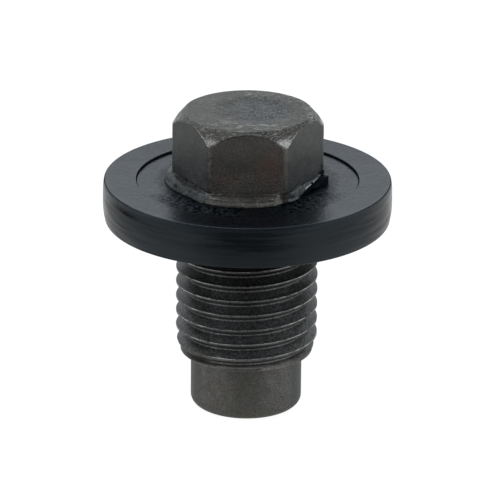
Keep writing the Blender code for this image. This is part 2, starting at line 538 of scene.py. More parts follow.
@dataclass(frozen=True)
class BlackenedSteel:
    """Forged steel with a thin dark phosphate coat, rubbed bare on its edges."""

    coat: Triple = (0.120, 0.1165, 0.104)
    # a lighter coat colour, for random lighter patches and for painted light
    pale: Triple = (0.300, 0.288, 0.270)
    # the rubbed-metal colour, used for real wear and for painted highlights and glints
    wear_and_highlight: Triple = (0.66, 0.64, 0.615)
    warm: Triple = (1.21, 0.95, 0.90)
    cool: Triple = (0.88, 0.97, 1.12)
    # matte near-black for the deepest painted shadow
    shadow_black: Triple = (0.0115, 0.0160, 0.0205)
    roughness: float = 0.42
    grain: float = 0.16
    patch: float = 0.42
    blotch: float = 1.1
    crystal: Triple = (0.20, 0.45, 0.20)
    relief: float = 0.018
    strokes: tuple[tuple[Triple, float], ...] = (
        ((1.5, 0.22, 0.13), 14.0),
        ((1.1, 0.20, 0.12), -30.0),
    )

    def material(self) -> bpy.types.Material:
        """Mix the finish from the plug's layers.

        Returns:
            Its material.
        """
        material, sheet = new_material("blackened_steel_with_painted_light")
        fine = sheet.noise(self.grain, 3.0, 0.65)
        speck = sheet.noise(self.grain * 0.45, 1.0)
        patch = sheet.noise(self.patch, 2.0, 0.6)
        blotch = sheet.noise(self.blotch, 3.0, 0.6)
        wear_and_highlight, pale = sheet.layer(Layer.WEAR_AND_HIGHLIGHT), sheet.layer(Layer.PALE)
        dirt_and_shade, tint = sheet.layer(Layer.DIRT_AND_SHADE), sheet.layer(Layer.TINT)
        # painted light and shade: the pale layer lightens or darkens regions by how light falls on
        # them
        cover = (pale + blotch * 0.5 + patch * 0.5 + fine * 0.4).ramp(0.0, 1.0)
        color = sheet.mix(self.coat, self.pale, cover)
        color = sheet.tinted(color, self.warm, (tint + blotch * 1.4).ramp(0.1, 1.0))
        color = sheet.tinted(color, self.cool, (tint * -1.0 + patch * 1.4).ramp(0.0, 0.9))
        grain = sheet.noise(self.crystal, 2.0, 0.75) * 3.4 * sheet.layer(Layer.GRAIN)
        color = sheet.shade(color, (fine * 1.3 + speck * 1.3 + grain + 1.0).most(0.2))
        # painted shade: the darkening layer adds shade in creases, undercuts and shaded sides to an
        # even darkening
        stain_and_shade = dirt_and_shade * (patch * 2.2 + fine * 1.6 + 0.5)
        color = sheet.shade(color, (1.0 - stain_and_shade).most(0.12))
        # painted highlight: lit edges and glints take the rubbed-metal colour, along with real wear
        # and scuffs
        rubbed_and_lit = (wear_and_highlight + fine * 1.1 * (wear_and_highlight * 4.0).least(1.0)).ramp(0.25, 0.85)
        rubbed_and_lit = rubbed_and_lit.most(self.scuffs(sheet))
        values = {
            "Base Color": sheet.mix(color, self.wear_and_highlight, rubbed_and_lit),
            "Roughness": fine * 0.3 + blotch * 0.12 + self.roughness - rubbed_and_lit * 0.1,
            "Metallic": 1.0,
            "Normal": sheet.bump(fine * 0.5 + speck * 0.2 + patch * 0.3, self.relief),
        }
        steel = sheet.node("BsdfPrincipled", values)
        # painted shadow: where the darkening layer passes 1, the steel turns into matte near-black
        deep_shade = (dirt_and_shade + fine * 0.6).ramp(0.95, 1.35)
        sheet.finish(sheet.both(steel, sheet.diffuse(self.shadow_black), deep_shade))
        return material

    def scuffs(self, sheet: Sheet) -> Value:
        """Short bright scuffs that cross one another where the plug was handled.

        Args:
            sheet: the sheet of the material.

        Returns:
            How bright they are, from 0 to 1.
        """
        first, second = (sheet.noise(cell, 1.0, 0.4, turn, 1.2) for cell, turn in self.strokes)
        scuff = sheet.layer(Layer.SCUFF)
        return (first.most(second) + scuff * 0.05).ramp(0.12, 0.21) * scuff


@dataclass(frozen=True)
class MouldedRubber:
    """Black moulded rubber with a soft sheen."""

    color: Triple = (0.0004, 0.0016, 0.0034)
    # a dust colour, also used for a painted highlight
    dust_and_light: Triple = (0.010, 0.014, 0.019)
    # matte near-black for painted shade
    dull_and_shade: Triple = (0.0004, 0.0014, 0.0026)
    lint: Triple = (0.060, 0.070, 0.085)
    gloss: Triple = (0.765, 0.905, 1.0)
    roughness: float = 0.14
    index: float = 1.58
    grain: float = 0.15
    patch: float = 0.40
    cloud: float = 1.6
    speck: float = 0.20
    streak: Triple = (6.0, 6.0, 0.24)
    ripple: Triple = (5.0, 5.0, 0.9)
    relief: float = 0.034

    def material(self) -> bpy.types.Material:
        """Mix the finish from the washer's layers.

        Returns:
            Its material.
        """
        material, sheet = new_material("moulded_rubber_with_painted_shade")
        grit, pale = sheet.layer(Layer.GRIT), sheet.layer(Layer.PALE)
        grain, matte_shade = sheet.layer(Layer.GRAIN), sheet.layer(Layer.DULL_AND_SHADE)
        fine = sheet.noise(self.grain, 3.0, 0.6)
        coarse = sheet.noise(self.patch, 3.0, 0.6)
        streak = sheet.noise(self.streak, 2.0, 0.55)
        ripple = sheet.noise(self.ripple, 1.0, 0.5)
        cloud = sheet.noise(self.cloud, 3.0, 0.55)
        lint = sheet.noise(self.speck, 1.0).ramp(0.14, 0.22) * (grit * 1.3 - 0.45).most(0.0)
        # painted highlight: the pale layer lightens the top of the wall with the dust colour,
        # beside dust from grit
        color = sheet.mix(self.color, self.dust_and_light, pale * 0.6 + grit * (fine + 0.15) * 0.6)
        rough = cloud * 0.12 + fine * 0.12 + self.roughness + grit * 0.15 + matte_shade * 0.22
        height = fine * (grit * 0.9 + 0.15) + coarse * (grit * 1.7 + 0.25)
        height = height + (streak * 0.5 + ripple * 2.2) * grain
        values = {
            "Base Color": sheet.mix(color, self.lint, lint),
            "Roughness": rough,
            "Metallic": 0.0,
            "IOR": self.index,
            "Normal": sheet.bump(height, self.relief),
            "Specular Tint": self.gloss,
        }
        glossy = sheet.node("BsdfPrincipled", values)
        # painted shade: the dull layer turns the gloss into matte near-black where a shadow or a
        # dark reflection falls, with mottling and streaks added
        mottled = (grit - 0.35).most(0.0) * (coarse * 2.6 + fine * 1.8)
        lined = (streak * 1.1 + fine * 0.5) * (grain - 0.1)
        share = matte_shade * (coarse * 1.2 + 1.0) + mottled + lined
        sheet.finish(sheet.both(glossy, sheet.diffuse(self.dull_and_shade), share))
        return material


# Plug


@dataclass
class HexHead:
    """The forged head: neck, washer face, hexagon, chamfer and dished top, as one shell.

    The outline, tops, feet and skirt of the washer face are pairs of azimuth and size.
    """

    neck_radius: float = 6.45
    neck_foot: float = 18.95
    face_foot: float = 22.90
    foot_round: float = 0.05
    face_lean: float = 0.205
    hex_foot: float = 23.79
    half_flats: float = 6.40
    corner_round: float = 0.70
    top: float = 29.98
    top_radius: float = 6.17
    chamfer_slope: float = math.tan(math.radians(53))
    rim_round: float = 0.24
    dish_radius: float = 3.9
    dish_depth: float = 0.11
    dish_center: tuple[float, float] = (0.45, 0.25)
    steps: int = 360
    wall_rows: int = 26
    chamfer_rows: int = 9
    top_rows: int = 22
    face_outline: Pairs = (
        *((-180, 8.02), (-160, 7.86), (-150, 7.62), (-138, 7.56), (-122, 7.92), (-106, 8.05)),
        *((-84, 7.94), (-72, 7.80), (-62, 7.36), (-54, 7.30), (-47, 7.05), (-40, 6.72)),
        *((-32, 6.60), (-24, 6.64), (-16, 6.80), (-9, 7.08), (-3, 7.36), (10, 7.45)),
        *((40, 7.60), (90, 7.70), (140, 7.80)),
    )
    face_tops: Pairs = (
        *((-180, 23.30), (-150, 23.36), (-120, 23.34), (-90, 23.36), (-64, 23.30), (-54, 23.18)),
        *((-46, 23.08), (-40, 23.08), (-34, 23.26), (-29, 23.45), (-24, 23.52), (-17, 23.68)),
        *((-10.5, 23.86), (-6.5, 24.00), (-1, 24.02), (14, 23.48), (90, 23.40)),
    )
    face_feet: Pairs = (
        *((-180, 22.90), (-46, 22.90), (-41, 22.91), (-34, 23.08), (-29, 23.27), (-24, 23.37)),
        *((-17, 23.54), (-10.5, 23.72), (-6.5, 23.88), (-1, 23.90), (14, 22.90)),
    )
    skirt_outline: Pairs = (
        *((-180, 0.0), (-50, 0.0), (-43, -0.04), (-36, -0.07), (-20, -0.07), (-14, 0.28)),
        *((-8, 0.54), (0, 0.42), (10, 0.10), (20, 0.0)),
    )
    fillet: Pairs = (
        *((0.06, 0.41), (0.22, 0.59), (0.5, 0.77), (0.78, 0.89), (0.93, 0.968), (1.0, 1.06)),
    )

    def hexagon(self, azimuth: float) -> float:
        """Measure the rounded hexagon.

        Args:
            azimuth: where to measure.

        Returns:
            Its radius there.
        """
        off_flat = (azimuth % 60.0) - 30.0
        inner = self.half_flats - self.corner_round
        tangent = math.degrees(math.atan(inner * math.tan(math.radians(30)) / self.half_flats))
        if abs(off_flat) < tangent:
            return self.half_flats / math.cos(math.radians(off_flat))
        center = inner / math.cos(math.radians(30))
        off_corner = math.radians(30.0 - abs(off_flat))
        across = center * math.sin(off_corner)
        return center * math.cos(off_corner) + math.sqrt(self.corner_round**2 - across**2)

    def edge_height(self, azimuth: float) -> float:
        """Measure the hexagon's upper edge.

        Args:
            azimuth: where to measure.

        Returns:
            The height at which the chamfer cuts it there.
        """
        side = max(sector(azimuth, at, 20.0, 14.0) for at in (0.0, 180.0))
        inward = self.hexagon(azimuth) - self.top_radius
        return self.top - inward * self.chamfer_slope + 0.2 * side

    def trimmed(self, azimuth: float) -> float:
        """How far the washer face was cut back at an azimuth."""
        return sector(azimuth, CUT_BACK, 31.0, 15.0)

    def off_dish(self, spot: Spot) -> float:
        """How far a point lies from the middle of the dish."""
        return math.hypot(spot.x - self.dish_center[0], spot.y - self.dish_center[1])

    def in_dish(self, spot: Spot, outer: float, inner: float) -> float:
        """How far a point lies in the dish, from 0 outside its rim to 1 inside it."""
        return ease(self.dish_radius - self.off_dish(spot), -outer, inner)

    def on_top(self, spot: Spot, margin: float) -> bool:
        """Whether a point lies above the hexagon's upper edge, or less than the margin below."""
        return spot.z > self.edge_height(spot.azimuth) - margin

    def column(self, azimuth: float) -> Points:
        """Points of the shell one above the other.

        Args:
            azimuth: where they stand.

        Returns:
            Their (r, z), from the foot of the neck to near the middle of the top.
        """
        wall = around(self.face_outline, azimuth)
        wall_top = around(self.face_tops, azimuth)
        foot = around(self.face_feet, azimuth)
        cut = self.trimmed(azimuth)
        hexagon = self.hexagon(azimuth)
        hex_start = max(self.hex_foot, wall_top + 0.04)
        edge = self.edge_height(azimuth)
        foot_round = min(self.foot_round, 0.2 * (wall_top - foot))
        wall_foot = foot + foot_round
        brow = min(wall, max(wall - self.face_lean * (1.0 - cut), hexagon + 0.03))
        skirt = wall - foot_round * 1.05 + around(self.skirt_outline, azimuth)
        tall = 0.15 + 0.60 * sector(azimuth, -4.0, 12.0, 8.0)
        skirt_top = self.face_foot - 0.010 + tall * (foot - self.face_foot)
        neck, neck_top = self.neck_radius, self.face_foot - 0.020

        points = [(neck, blend(self.neck_foot, neck_top, share)) for share in (0.0, 0.5, 1.0)]
        for share in (0.35, 0.75, 1.0):
            points.append((blend(neck, skirt, share), self.face_foot - 0.015))
        points.append((skirt, skirt_top))
        for share in (0.15, 0.9):
            points.append((wall - foot_round - 0.05 * cut, blend(skirt_top, foot, share)))
        points += arc((wall - foot_round, wall_foot), foot_round, -90.0, 0.0, 3)
        for share in (0.3, 0.6, 0.85, 0.97):
            points.append((blend(wall, brow, share**1.3), blend(wall_foot, wall_top, share)))
        for share, lift in self.fillet:
            height = blend(wall_top, hex_start, blend(lift, share, cut))
            points.append((blend(brow, hexagon, share), height))
        for row in range(1, self.wall_rows):
            share = row / self.wall_rows
            points.append((hexagon, blend(hex_start + 0.05, edge - 0.09, share)))
        points += [(hexagon, edge - 0.07), (hexagon - 0.012, edge - 0.02)]
        for row in range(1, self.chamfer_rows + 1):
            share = row / (self.chamfer_rows + 1)
            points.append((blend(hexagon, self.top_radius, share), blend(edge, self.top, share)))
        slope = math.atan(self.chamfer_slope)
        inner = self.top_radius - self.rim_round * math.tan(slope / 2)
        center = (inner, self.top - self.rim_round)
        points += arc(center, self.rim_round, 90.0 - math.degrees(slope), 90.0, 4)
        for row in range(1, self.top_rows):
            points.append((inner * (1.0 - row / self.top_rows), self.top))
        return points

    def shell(self) -> BMesh:
        """Model the head.

        Returns:
            The shell, open at the foot of the neck and closed in the middle of the top.
        """
        rows = range(len(self.column(FRONT)))
        shell = spun([(1.0 / MM, row / MM) for row in rows], self.steps)
        columns: dict[float, Points] = {}
        for vert in shell.verts:
            azimuth = Spot(vert.co).azimuth
            if azimuth not in columns:
                columns[azimuth] = self.column(azimuth)
            radius, height = columns[azimuth][round(vert.co.z)]
            vert.co = polar(radius, azimuth, height)
        limit = self.hex_foot * MM
        rim = [edge for edge in shell.edges if edge.is_boundary and edge.verts[0].co.z > limit]
        bmesh.ops.holes_fill(shell, edges=rim, sides=0)
        bmesh.ops.poke(shell, faces=[face for face in shell.faces if len(face.verts) > 4])
        self.forge(shell)
        return shell

    def forge(self, shell: BMesh) -> None:
        """Sink the dish into the top and give the surfaces the slight waves of a forging.

        Args:
            shell: the head's shell, which is changed.
        """
        for vert in shell.verts:
            spot = Spot(vert.co)
            if spot.z < self.face_foot:
                continue
            if spot.z > self.top - 0.02:
                wave = 0.030 * spot.waves(1.1) + 0.015 * spot.waves(0.45)
                height = spot.z - self.dish_depth * self.in_dish(spot, 0.6, 1.2)
                height += wave * ease(self.off_dish(spot), 6.1, 5.0)
                vert.co.z = min(height, self.top) * MM
            elif spot.z > self.hex_foot:
                wave = 0.020 * spot.waves(2.1) + 0.010 * spot.waves(0.8)
                vert.co = spot.pushed(wave - 0.012)
            else:
                depth = blend(0.035, 0.006, self.trimmed(spot.azimuth))
                vert.co = spot.pushed(depth * spot.waves(1.0))


@dataclass
class ThreadedShank:
    """The rolled thread, its lead and the plain pilot, as one shell grown from the thread."""

    pitch: float = 1.5
    crest_radius: float = 6.88
    depth: float = 0.86
    crest_top: float = 1.06
    crest_flat: float = 0.19
    crest_round: float = 0.035
    root_flat: float = 0.16
    blank_radius: float = 6.42
    lead_foot: float = 5.65
    lead_length: float = 0.40
    lead_slope: float = 0.33
    top: float = 18.72
    runout: float = 0.7
    neck_radius: float = 6.45
    pilot_radius: float = 5.40
    pilot_top: float = 5.32
    tip_round: float = 0.85
    steps: int = 144

    def section(self) -> Points:
        """One pitch of the thread's section.

        Returns:
            Its points from root to root, as (r, z) from the crest's top.
        """
        crest = self.crest_radius
        root = crest - self.depth
        flank = (self.pitch - self.crest_flat - self.root_flat) / 2
        edge = self.crest_round
        low = -self.crest_flat
        return [
            (root, low - flank - self.root_flat * 0.5),
            (root + 0.02, low - flank),
            *((blend(root, crest, share), low - flank * (1.0 - share)) for share in (0.35, 0.7)),
            (crest - edge * 1.9, low - edge * 1.2),
            (crest - edge * 0.6, low - edge * 0.1),
            (crest, low + edge * 1.3),
            (crest, low * 0.5),
            (crest, -edge * 0.6),
            (crest - edge * 0.25, edge * 0.05),
            (crest - edge, edge * 0.62),
            *((blend(crest, root, share), flank * share) for share in (0.35, 0.7)),
            (root + 0.02, flank),
        ]

    def crest_phase(self, spot: Spot) -> float:
        """How far a point lies above the top edge of the crest below it, from 0 to one pitch."""
        rise = self.pitch * (spot.azimuth - FRONT) / 360.0
        return (spot.z - self.crest_top - rise) % self.pitch

    def shell(self) -> BMesh:
        """Model the shank.

        Returns:
            The shell, closed under the tip and open at the neck.
        """
        start = self.crest_top + self.pitch / 4
        first = math.floor((self.lead_foot - start) / self.pitch) - 1
        last = math.ceil((self.top - start) / self.pitch) + 1
        lifts = [start + turn * self.pitch for turn in range(first, last + 1)]
        profile = [(r, lift + z) for lift in lifts for r, z in self.section()]
        shell = spun(profile, self.steps, rise=self.pitch)
        bmesh.ops.remove_doubles(shell, verts=shell.verts, dist=0.001 * MM)
        for height, side in ((self.lead_foot, -1.0), (self.top, 1.0)):
            bmesh.ops.bisect_plane(
                shell,
                geom=[*shell.verts, *shell.edges, *shell.faces],
                dist=0.002 * MM,
                plane_co=metres(0.0, 0.0, height),
                plane_no=(0.0, 0.0, side),
                clear_outer=True,
            )
        self.fade(shell)
        self.grow_pilot(shell)
        return shell

    def fade(self, shell: BMesh) -> None:
        """Run the thread out into the blank at its lead and into the neck at its top.

        Args:
            shell: the thread, which is changed.
        """
        for vert in shell.verts:
            spot = Spot(vert.co)
            above = spot.z - self.lead_foot
            cone = self.blank_radius + above * self.lead_slope
            lead = ease(above, 0.02, self.lead_length)
            radius = blend(self.blank_radius, min(spot.radius, cone), lead)
            radius = blend(self.neck_radius, radius, ease(self.top - spot.z, 0.0, self.runout))
            if above > 0.1:
                radius += 0.022 * (spot.waves(0.8) - 0.5)
            vert.co = polar(radius, spot.azimuth, spot.z)

    def grow_pilot(self, shell: BMesh) -> None:
        """Extrude the lead's foot ring by ring into the shoulder and the pilot, and close it.

        Args:
            shell: the thread, which the pilot is added to.
        """
        limit = (self.lead_foot + 0.1) * MM
        ring = [edge for edge in shell.edges if edge.is_boundary and edge.verts[0].co.z < limit]
        pilot, straight = self.pilot_radius, self.pilot_top - 0.08
        below = [(self.blank_radius - 0.04, self.lead_foot - 0.045)]
        below += [(pilot + 0.12, self.pilot_top + 0.03), (pilot, straight)]
        below += [(pilot, blend(straight, self.tip_round, step / 10)) for step in range(1, 10)]
        below += arc((pilot - self.tip_round, self.tip_round), self.tip_round, 0.0, -90.0, 8)
        below += [(pilot * share, 0.0) for share in (0.7, 0.5, 0.3, 0.15)]
        for radius, height in below:
            grown = bmesh.ops.extrude_edge_only(shell, edges=ring)["geom"]
            for vert in (item for item in grown if isinstance(item, bmesh.types.BMVert)):
                vert.co = polar(radius, Spot(vert.co).azimuth, height)
            ring = [item for item in grown if isinstance(item, bmesh.types.BMEdge)]
        bmesh.ops.holes_fill(shell, edges=ring, sides=0)


@dataclass
class DrainPlug:
    """The steel plug: head and shank joined at the neck, and the marks of wear on them.

    Each mark is a function from a point to the strength of the mark there. It goes through the
    regions from the pilot up: shank, washer face, sides of the hexagon, and top with chamfer.
    """

    head: HexHead
    shank: ThreadedShank
    sharp: float = 38.0

    def build(self, finish: BlackenedSteel) -> bpy.types.Object:
        """Model the plug, mark its wear and give it its finish.

        Args:
            finish: the finish of the steel.

        Returns:
            The finished piece.
        """
        shell = self.head.shell()
        carried = mesh_from("shank_shell", self.shank.shell())
        shell.from_mesh(carried)
        bpy.data.meshes.remove(carried)
        open_edges = [edge for edge in shell.edges if edge.is_boundary]
        LOG.info("joining the neck across %d open edges", len(open_edges))
        bmesh.ops.bridge_loops(shell, edges=open_edges)
        layers = (Layer.WEAR_AND_HIGHLIGHT, Layer.PALE, Layer.DIRT_AND_SHADE, Layer.TINT, Layer.SCUFF, Layer.GRAIN)
        paint(shell, self, layers)
        return piece_from("drain_plug", shell, self.sharp, finish.material())

    def face_front(self, spot: Spot) -> float:
        """How far a point lies on the front of the washer face."""
        return sector(spot.azimuth, -88.0, 36.0, 12.0)

    def under_brow(self, spot: Spot) -> float:
        """How far a point lies below the top of the washer face."""
        return ease(around(self.head.face_tops, spot.azimuth) + 0.14 - spot.z, 0.0, 0.06)

    def wear_and_highlight(self, spot: Spot) -> float:
        """How far the coat is rubbed off.

        Args:
            spot: the point.

        Returns:
            From 0, coated, to 1, bare.
        """
        head, shank, azimuth = self.head, self.shank, spot.azimuth
        if spot.z < head.neck_foot:
            if spot.z > shank.top - shank.runout:
                return 0.25
            if spot.z < shank.lead_foot + 0.02:
                # painted highlight along the edge of the lead
                return 0.45 * hump(spot.z, shank.lead_foot, 0.06)
            # the crests: partly worn, partly painted highlight
            phase = shank.crest_phase(spot)
            phase = phase - shank.pitch if phase > shank.pitch / 2 else phase
            crest = ease(spot.radius, shank.crest_radius - 0.12, shank.crest_radius - 0.02)
            patchy = 0.84 + 0.7 * spot.waves(0.8)
            return 0.85 * patchy * crest * hump(phase, -0.02, 0.07)
        if spot.z < head.hex_foot:
            wall = around(head.face_outline, azimuth)
            foot = around(head.face_feet, azimuth)
            # painted highlight: the lit edge of the cut-back washer face
            lit = 0.8 * sector(azimuth, -21.5, 12.5, 2.0)
            lit *= ease(spot.radius, wall - 0.06, wall - 0.02)
            lit *= ease(spot.z, foot + 0.015, foot + 0.03)
            # painted light on the brow and front of the washer face
            brow = hump(spot.z, around(head.face_tops, azimuth) + 0.05, 0.12)
            front = (0.13 + 0.05 * brow) * self.face_front(spot)
            return max(0.12 * (azimuth > -140.0), front, lit)
        corner = 30.0 - abs((azimuth % 60.0) - 30.0)
        edge = head.edge_height(azimuth)
        left = azimuth < FRONT
        # painted highlight on the uprights of the right side only
        upright = 0.0 if left else 0.06 * ease(3.2 - corner, 0.0, 2.6)
        if spot.z < edge - 0.12:
            # painted light on the lower front flat
            front = sector(azimuth, FRONT, 31.0, 3.0) * ease(28.4 - spot.z, 0.0, 4.0)
            return max(upright, 0.50 * front)
        # corner glints and arrises: partly worn, partly painted highlight, brighter on the right
        tip = ease(15.0 - corner, 0.0, 13.0) * ease(head.top - 0.3 - spot.z, 0.0, 0.9)
        beside = 30.0 < abs(turn_gap(azimuth, FRONT)) < 60.0
        near = ease(22.0 - corner, 0.0, 12.0) * beside
        arris = (0.30 + 0.30 * near) * hump(spot.z, edge, 0.14)
        return max((0.50 if left else 0.68) * tip, arris, upright)

    def pale(self, spot: Spot) -> float:
        """How light the coat is.

        Args:
            spot: the point.

        Returns:
            From 0, dark, to 1, light.
        """
        head, shank = self.head, self.shank
        if spot.z < shank.lead_foot:
            # painted shade: darker across the pilot's middle, at its sides and near the floor
            inward = 1.0 - abs(spot.x) / shank.pilot_radius
            right = 0.03 * ease(spot.x, 1.0, 2.5)
            middle = 0.15 * ease(inward, 0.5, 0.95)
            sides = 0.36 * ease(inward, 0.24, 0.05)
            return 0.31 + right - middle - sides - 0.14 * ease(1.3 - spot.z, 0.0, 1.0)
        if spot.z < head.neck_foot:
            # painted shade: the thread darker towards its sides and up under the washer
            side = ease(abs(spot.x - 0.4), 3.0, 5.6)
            crest = ease(spot.radius, shank.crest_radius - 0.2, shank.crest_radius)
            return blend(blend(0.62 - 0.25 * crest, 0.02, side), 0.0, ease(spot.z, 13.0, 17.5))
        if spot.z < head.hex_foot + 0.05:
            # painted light on the front of the washer face
            return 0.08 + 0.27 * self.face_front(spot)
        if head.on_top(spot, 0.05):
            # darker in the dish, near the front rim and on the right
            front = 0.20 * sector(spot.azimuth, FRONT, 50.0, 30.0)
            front *= ease(head.off_dish(spot), 3.6, 4.4)
            right = 0.15 * ease(spot.x, 3.0, 5.0)
            return 0.15 - 0.15 * head.in_dish(spot, 0.7, 1.1) - front - right
        # painted light: the front flat lighter, and the lower side flats and the right side a
        # little lighter
        low = ease(26.8 - spot.z, 0.0, 2.8)
        front = sector(spot.azimuth, FRONT, 34.0, 6.0)
        beside = 0.22 * low + 0.04 * (spot.x > 0.0)
        return 0.20 + front * (0.48 + 0.32 * low) + (1.0 - front) * beside

    def dirt_and_shade(self, spot: Spot) -> float:
        """How stained the coat is.

        Args:
            spot: the point.

        Returns:
            From 0, clean, to 1, dark, and above that as matte as soot.
        """
        head, shank, azimuth = self.head, self.shank, spot.azimuth
        if spot.z < head.neck_foot:
            if spot.z < shank.lead_foot:
                # painted shade at the pilot's sides
                return 0.10 + 0.15 * ease(abs(spot.x), 4.6, 5.4)
            # painted shade over the lower edge of each crest, dimming its reflection of the floor
            return 0.10 + 0.45 * hump(shank.crest_phase(spot) - shank.pitch, -0.21, 0.09)
        cut = head.trimmed(azimuth)
        if spot.z < head.hex_foot + 0.05:
            # painted shade: darker on the left of the washer face
            left = ease(-118.0 - azimuth, 0.0, 20.0) if azimuth < 0.0 else 0.0
            far = ease(azimuth, -9.5, -8.0) * (azimuth < 20.0)
            limit = around(head.face_feet, azimuth) + 0.01 + 0.4 * far
            # painted shadow under the cut-back edge of the washer face
            under = 1.32 * ease(limit - spot.z, 0.0, 0.03) * cut
            # painted shadow in a notch under its brow
            notch = 1.7 * sector(azimuth, -22.2, 2.2, 0.9) * self.under_brow(spot)
            # painted shade on the washer face close to the hexagon, left of the right corner
            seam = 0.75 * ease(0.9 - spot.radius + head.hexagon(azimuth), 0.0, 0.8)
            seam *= ease(-turn_gap(azimuth, RIGHT_CORNER), 0.0, 8.0)
            # painted shade in the crease below the hexagon
            crease = 1.15 * hump(spot.z, head.hex_foot + 0.026, 0.05) * (1.0 - cut)
            return max(0.34 + 0.51 * left, seam, under, notch, crease)
        if not head.on_top(spot, 0.05):
            # painted shade: darker towards the foot on the back left, on the two front corners, low
            # on the far right, under the far right corner and along the hexagon's foot
            foot = 0.45 * ease(25.2 - spot.z, 0.0, 1.2) if azimuth < 0.0 else 0.0
            foot *= ease(-148.0 - azimuth, 0.0, 14.0)
            left = 0.68 * sector(azimuth, LEFT_CORNER, 5.0, 3.5)
            right = 0.45 * sector(azimuth, RIGHT_CORNER, 4.0, 3.0) * ease(28.0 - spot.z, 0.0, 1.0)
            side = 0.9 * ease(azimuth, -8.0, -4.0) * ease(30.0 - azimuth, 0.0, 10.0)
            side *= ease(25.6 - spot.z, 0.0, 1.2)
            tip = 1.4 * ease(azimuth, -10.0, -8.0) * (azimuth < 14.0) * self.under_brow(spot)
            seam = 0.7 * ease(24.15 - spot.z, 0.0, 0.3) * (1.0 - cut)
            return max(0.18 + foot, left, right, seam, side, tip)
        # darker in the dish, at the front and on the right of the top
        front = sector(azimuth, FRONT, 55.0, 30.0) * ease(head.off_dish(spot), 3.6, 4.4)
        right = 0.8 * ease(spot.x, 2.0, 4.5)
        return 0.16 + 0.22 * head.in_dish(spot, 0.4, 0.6) + 0.16 * max(front, right)

    def grain(self, spot: Spot) -> float:
        """How coarse the crystals of the coat look.

        Args:
            spot: the point.

        Returns:
            From 0, smooth, to 1 and above.
        """
        head = self.head
        if spot.z < self.shank.lead_foot:
            return 0.12
        if spot.z < head.neck_foot:
            return 0.30 + 0.50 * ease(spot.z, 5.8, 6.6)
        if spot.z < head.hex_foot:
            return 0.7
        if not head.on_top(spot, 0.03):
            beside = abs(turn_gap(spot.azimuth, FRONT)) > 32.0
            return 0.18 + 0.22 * ease(27.0 - spot.z, 0.0, 2.5) * beside
        right = ease(spot.x, -1.5, 2.0)
        dish = (0.75 + 0.65 * right) * head.in_dish(spot, 0.4, 0.6)
        return max(dish, 0.40 + 0.55 * right)

    def tint(self, spot: Spot) -> float:
        """How the coat is tinted.

        Args:
            spot: the point.

        Returns:
            Above 0 how reddish it is, below 0 how bluish.
        """
        head = self.head
        if spot.z < self.shank.lead_foot:
            return -0.25 - 0.45 * ease(spot.x, 3.8, 5.0)
        if spot.z < head.neck_foot:
            return blend(-0.1, -0.48, ease(spot.z, 5.8, 6.6))
        if head.on_top(spot, 0.05):
            right = ease(spot.x, -1.5, 2.0)
            return -0.12 - (0.30 + 0.45 * right) * head.in_dish(spot, 0.6, 1.2)
        front = sector(spot.azimuth, FRONT, 33.0, 5.0)
        right = hump(spot.x, 2.1, 2.7) * hump(spot.z, 26.0, 3.4)
        left = hump(spot.x, -2.0, 3.0) * hump(spot.z, 25.0, 1.7)
        aside = -0.7 if spot.z < head.hex_foot else -0.5
        return blend(aside, 0.03 + 1.15 * max(right, left), front)

    def scuff(self, spot: Spot) -> float:
        """How scuffed the coat is.

        Args:
            spot: the point.

        Returns:
            From 0, no scuffs, to 1, bright ones.
        """
        if spot.z < self.head.hex_foot:
            return 0.0
        if not self.head.on_top(spot, 0.03):
            return 0.04
        azimuth, off = spot.azimuth, self.head.off_dish(spot)
        near_dish = hump(off, 4.5, 1.1)
        near_rim = hump(off, 5.7, 0.9)
        front = sector(azimuth, -88.0, 75.0, 45.0) * max(0.60 * near_dish, 0.45 * near_rim)
        right = 0.95 * sector(azimuth, 16.0, 48.0, 18.0) * near_rim
        back = 0.9 * sector(azimuth, 84.0, 28.0, 14.0) * hump(off, 4.8, 1.0)
        slope = 0.30 * ease(off, 6.1, 6.4)
        left = 0.65 * sector(azimuth, 178.0, 18.0, 8.0) * ease(spot.x, -6.1, -6.6)
        return max(0.14, front, right, back, slope, left)


# Washer


